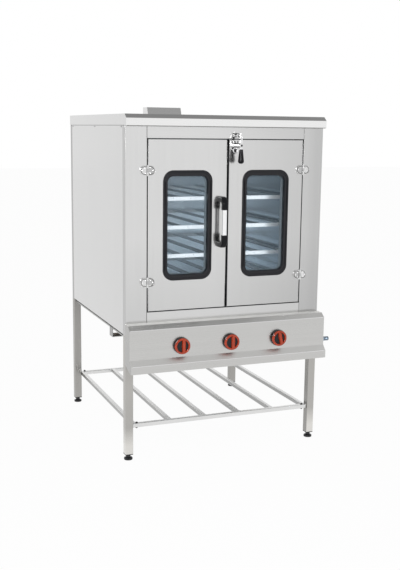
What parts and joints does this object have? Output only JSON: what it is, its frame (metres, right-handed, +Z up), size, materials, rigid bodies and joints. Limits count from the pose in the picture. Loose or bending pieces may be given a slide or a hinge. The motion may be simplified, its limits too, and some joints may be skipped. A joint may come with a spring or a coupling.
{
  "type": "pastry oven",
  "caption": "Gas pastry oven with windowed swing doors, inner racks, a sloped control panel with push-and-turn knobs, and an open leg stand with a low shelf.",
  "frame": {"origin": "bottom centre of the whole oven's box, on the floor between the feet", "axes": "+Z up, +X to the right as seen from the doors, -Y out of the doors"},
  "size_m": [1.05, 1.1104, 1.664],
  "materials": {
    "stainless": "brushed stainless sheet with a fine grain",
    "stand_steel": "satin stainless tube",
    "chamber_steel": "plain cold-rolled stainless, slightly dull",
    "rack_steel": "bright rolled steel",
    "burner_steel": "heat-dulled steel tube",
    "chrome": "polished chrome plate",
    "brass": "machined brass",
    "gasket_rubber": "black moulded rubber",
    "black_plastic": "black moulded plastic, satin",
    "knob_red": "glossy orange-red plastic",
    "window_glass": "tinted heat-resistant glass",
    "insulation_wool": "mineral wool slab",
    "seal_fibre": "woven glass-fibre seal"
  },
  "bodies": {
    "cabinet": {"roof_cover": "stainless", "flue_outlet": "stainless", "side_panels": "stainless", "back_panel": "stainless", "front_posts": "stainless", "rear_posts": "stainless", "front_rails": "stainless", "control_panel": "stainless", "panel_end_caps": "stainless", "base_rails": "stand_steel", "legs": "stand_steel", "shelf_bars": "stand_steel", "burner_straps": "stand_steel", "chamber_side_walls": "chamber_steel", "chamber_back_wall": "chamber_steel", "chamber_ceiling": "chamber_steel", "chamber_floor": "chamber_steel", "rack_runners": "chamber_steel", "rack_1": "rack_steel", "rack_2": "rack_steel", "rack_3": "rack_steel", "rack_4": "rack_steel", "burner_tubes": "burner_steel", "gas_manifold": "burner_steel", "hinge_frame_halves": "chrome", "latch_strike": "chrome", "gas_inlet": "chrome", "gas_valves": "brass", "burner_feeds": "brass", "leg_plugs": "black_plastic", "insulation": "insulation_wool", "door_seal": "seal_fibre"},
    "left_door": {"left_door_panel": "stainless", "left_door_liner": "stainless", "left_window_gasket": "gasket_rubber", "left_window_glass": "window_glass", "handle_bar": "stainless", "handle_elbows": "black_plastic", "left_hinge_leaves": "chrome"},
    "right_door": {"right_door_panel": "stainless", "right_door_liner": "stainless", "right_window_gasket": "gasket_rubber", "right_window_glass": "window_glass", "right_hinge_leaves": "chrome", "latch_base": "chrome"},
    "latch": {"latch_lever": "chrome", "latch_grip": "black_plastic"},
    "valve_1": {"valve_stem_1": "chrome"},
    "dial_1": {"knob_1": "knob_red", "knob_core_1": "black_plastic"},
    "valve_2": {"valve_stem_2": "chrome"},
    "dial_2": {"knob_2": "knob_red", "knob_core_2": "black_plastic"},
    "valve_3": {"valve_stem_3": "chrome"},
    "dial_3": {"knob_3": "knob_red", "knob_core_3": "black_plastic"},
    "levelling_foot_1": {"foot_1": "black_plastic"},
    "levelling_foot_2": {"foot_2": "black_plastic"},
    "levelling_foot_3": {"foot_3": "black_plastic"},
    "levelling_foot_4": {"foot_4": "black_plastic"}
  },
  "joints": [
    {"name": "left_door_swing", "type": "hinge", "parent": "cabinet", "child": "left_door", "pos_m": [-0.4175, -0.46575, 1.1075], "axis": [0, 0, -1], "range_deg": [0, 170]},
    {"name": "right_door_swing", "type": "hinge", "parent": "cabinet", "child": "right_door", "pos_m": [0.3715, -0.46575, 1.1075], "axis": [0, 0, 1], "range_deg": [0, 170]},
    {"name": "latch_turn", "type": "hinge", "parent": "right_door", "child": "latch", "pos_m": [0.02, -0.50625, 1.476], "axis": [0, -1, 0], "range_deg": [0, 90]},
    {"name": "valve_1_push", "type": "slide", "parent": "cabinet", "child": "valve_1", "axis": [0, 1, 0], "range_m": [0, 0.004], "stiffness_N_per_m": 700},
    {"name": "knob_1_turn", "type": "hinge", "parent": "valve_1", "child": "dial_1", "pos_m": [-0.273, -0.54625, 0.557], "axis": [0, -1, 0], "range_deg": [0, 180]},
    {"name": "valve_2_push", "type": "slide", "parent": "cabinet", "child": "valve_2", "axis": [0, 1, 0], "range_m": [0, 0.004], "stiffness_N_per_m": 700},
    {"name": "knob_2_turn", "type": "hinge", "parent": "valve_2", "child": "dial_2", "pos_m": [-0.023, -0.54625, 0.557], "axis": [0, -1, 0], "range_deg": [0, 180]},
    {"name": "valve_3_push", "type": "slide", "parent": "cabinet", "child": "valve_3", "axis": [0, 1, 0], "range_m": [0, 0.004], "stiffness_N_per_m": 700},
    {"name": "knob_3_turn", "type": "hinge", "parent": "valve_3", "child": "dial_3", "pos_m": [0.227, -0.54625, 0.557], "axis": [0, -1, 0], "range_deg": [0, 180]},
    {"name": "foot_1_turn", "type": "hinge", "parent": "cabinet", "child": "levelling_foot_1", "pos_m": [-0.504, -0.44125, 0], "axis": [0, 0, 1], "continuous": true},
    {"name": "foot_2_turn", "type": "hinge", "parent": "cabinet", "child": "levelling_foot_2", "pos_m": [0.458, -0.44125, 0], "axis": [0, 0, 1], "continuous": true},
    {"name": "foot_3_turn", "type": "hinge", "parent": "cabinet", "child": "levelling_foot_3", "pos_m": [-0.504, 0.53475, 0], "axis": [0, 0, 1], "continuous": true},
    {"name": "foot_4_turn", "type": "hinge", "parent": "cabinet", "child": "levelling_foot_4", "pos_m": [0.458, 0.53475, 0], "axis": [0, 0, 1], "continuous": true}
  ]
}
